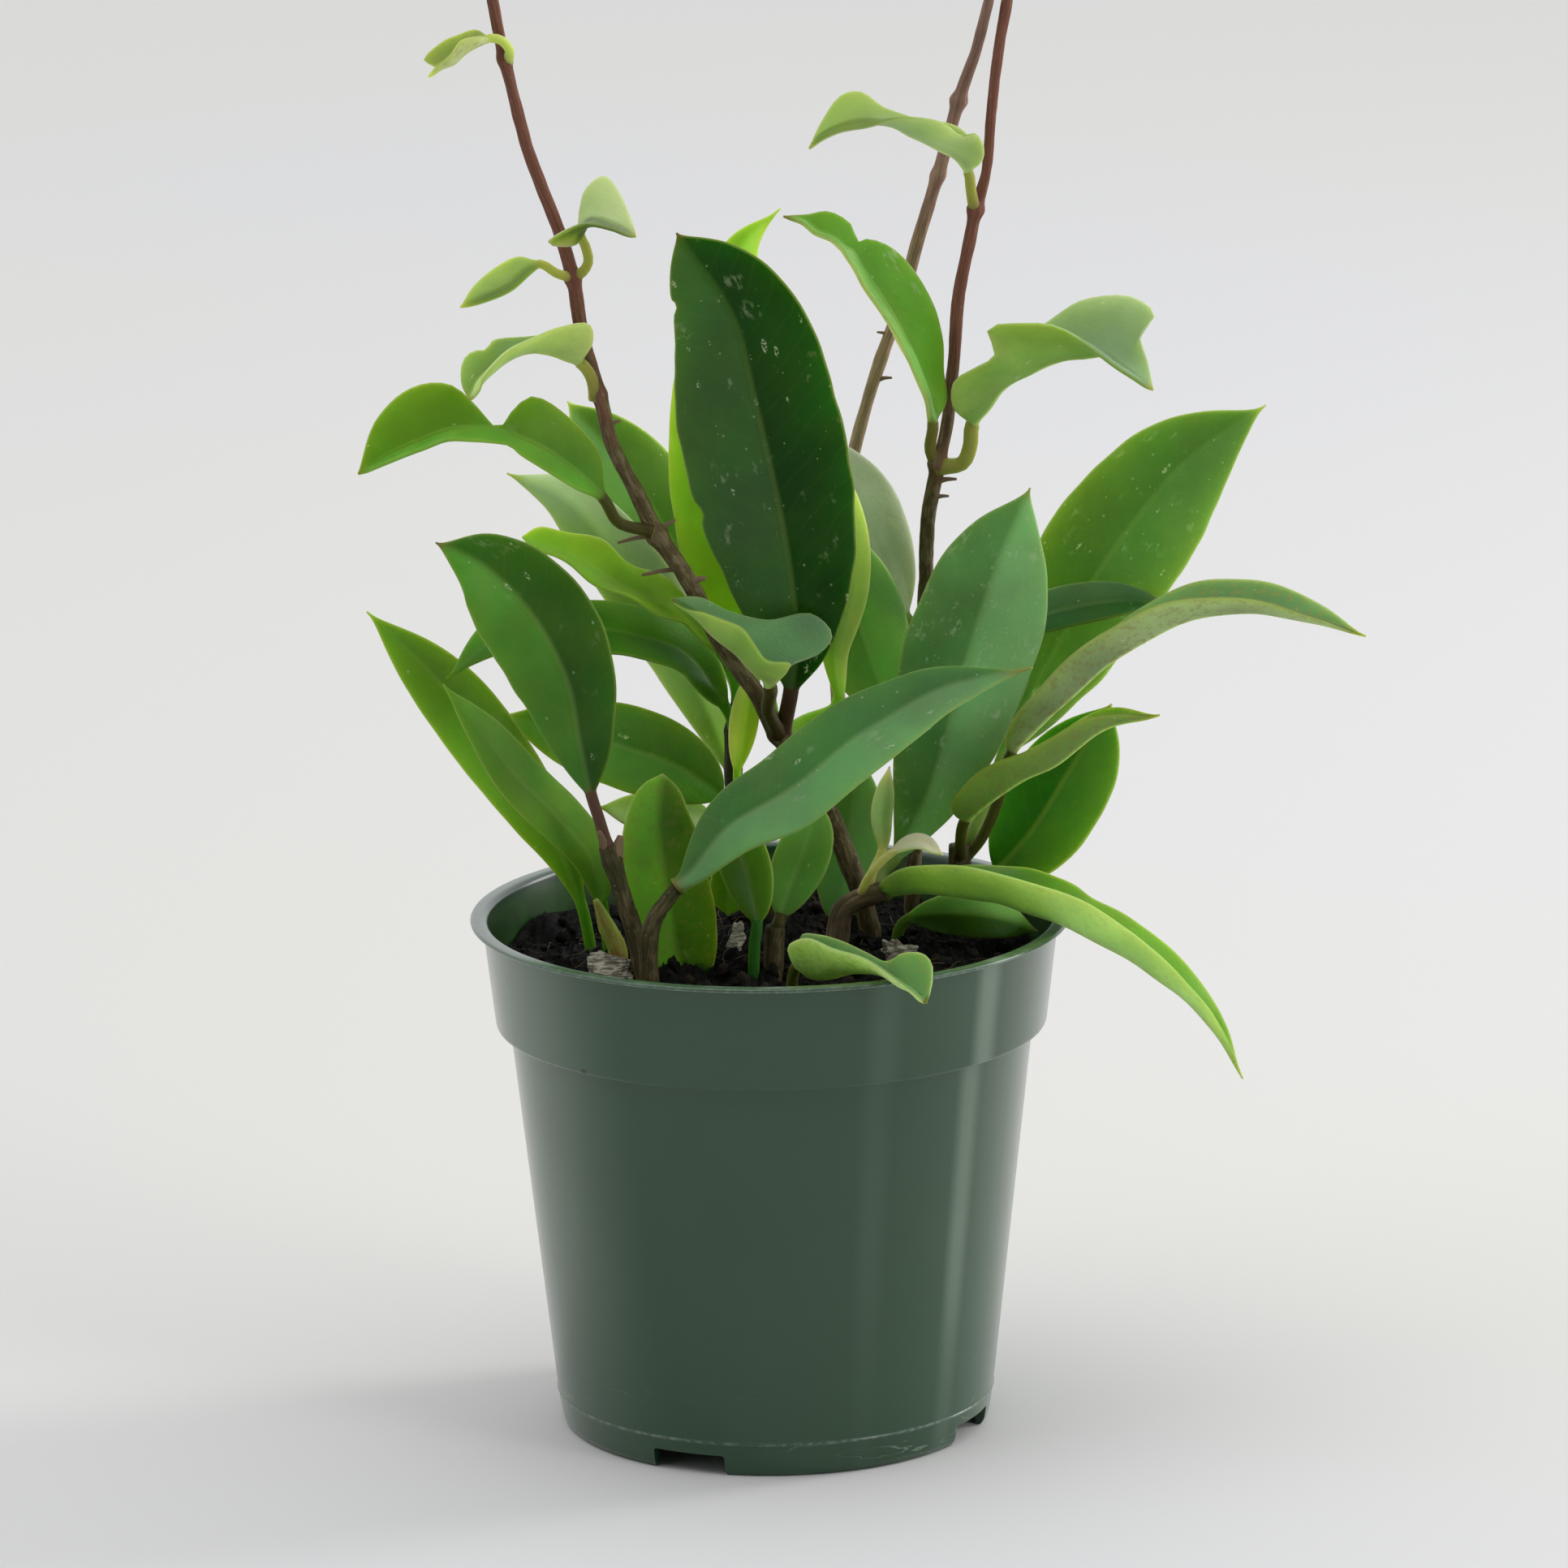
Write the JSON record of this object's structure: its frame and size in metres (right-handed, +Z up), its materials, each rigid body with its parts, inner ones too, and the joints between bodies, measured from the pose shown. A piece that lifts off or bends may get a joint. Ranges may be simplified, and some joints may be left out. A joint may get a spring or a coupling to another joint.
{
  "type": "potted hoya plant",
  "caption": "Climbing house plant with long waxy leaves and trailing vines, rooted in soil in a tapered round nursery pot with a stepped collar and bottom slots.",
  "frame": {"origin": "centre of the pot's foot, where the pot rests", "axes": "+Z up along the pot's axis, -Y towards the side that the picture shows, +X to the right in the picture"},
  "size_m": [0.19, 0.1183, 0.3261],
  "materials": {
    "pot": "satin dark green plastic, paler and scuffed at the lip",
    "soil": "near-black loose potting mix",
    "bark": "pale dry bark",
    "leaf_old": "waxy, dark blue-green with silvery flecks",
    "leaf_mid": "waxy mid green",
    "leaf_young": "waxy yellow-green, thinner",
    "leaf_bronze": "dark green above, pale grey-green below",
    "vine": "purple-brown smooth vine",
    "stem": "grey-brown woody stem"
  },
  "bodies": {
    "root": {"pot": "pot", "vine_left": "vine", "vine_right": "vine", "vine_back": "vine", "stem_left": "stem", "stem_front_left": "stem", "sprout_left": "leaf_young", "stem_centre": "stem", "stem_arch": "stem", "stem_right": "stem", "stem_back_left": "stem", "leaf_a1": "leaf_mid", "leaf_a2": "leaf_young", "leaf_a3_left": "leaf_young", "leaf_a3_right": "leaf_mid", "leaf_a4": "leaf_young", "leaf_b1_left": "leaf_old", "leaf_b1_right": "leaf_mid", "leaf_b2": "leaf_mid", "leaf_l1": "leaf_old", "leaf_l2": "leaf_young", "leaf_l4": "leaf_young", "leaf_l5": "leaf_old", "leaf_l6": "leaf_old", "leaf_r1": "leaf_old", "leaf_r2": "leaf_mid", "leaf_r3": "leaf_bronze", "leaf_r4": "leaf_mid", "leaf_r5": "leaf_bronze", "leaf_r6": "leaf_mid", "leaf_r7": "leaf_bronze", "leaf_r8": "leaf_mid", "leaf_m1": "leaf_mid", "leaf_m2": "leaf_mid", "leaf_n1": "leaf_old", "leaf_n2": "leaf_mid", "leaf_n3": "leaf_old", "leaf_n4": "leaf_old", "leaf_n5": "leaf_mid", "leaf_n6": "leaf_mid", "leaf_n7": "leaf_young", "leaf_n8": "leaf_young", "leaf_c1": "leaf_young", "leaf_c2_left": "leaf_young", "leaf_c2_right": "leaf_mid", "leaf_c3": "leaf_mid", "leaf_c4": "leaf_old", "leaf_c5_up": "leaf_young", "leaf_c5_side": "leaf_young", "leaf_c6": "leaf_young", "leaf_c7": "leaf_mid", "leaf_c9": "leaf_mid", "leaf_a5_left": "leaf_young", "leaf_a5_right": "leaf_young", "leaf_b3_left": "leaf_young", "leaf_c8_right": "leaf_young", "bark_chip_left": "bark", "bark_chip_middle": "bark", "bark_chip_right": "bark", "soil": "soil"}
  },
  "joints": []
}
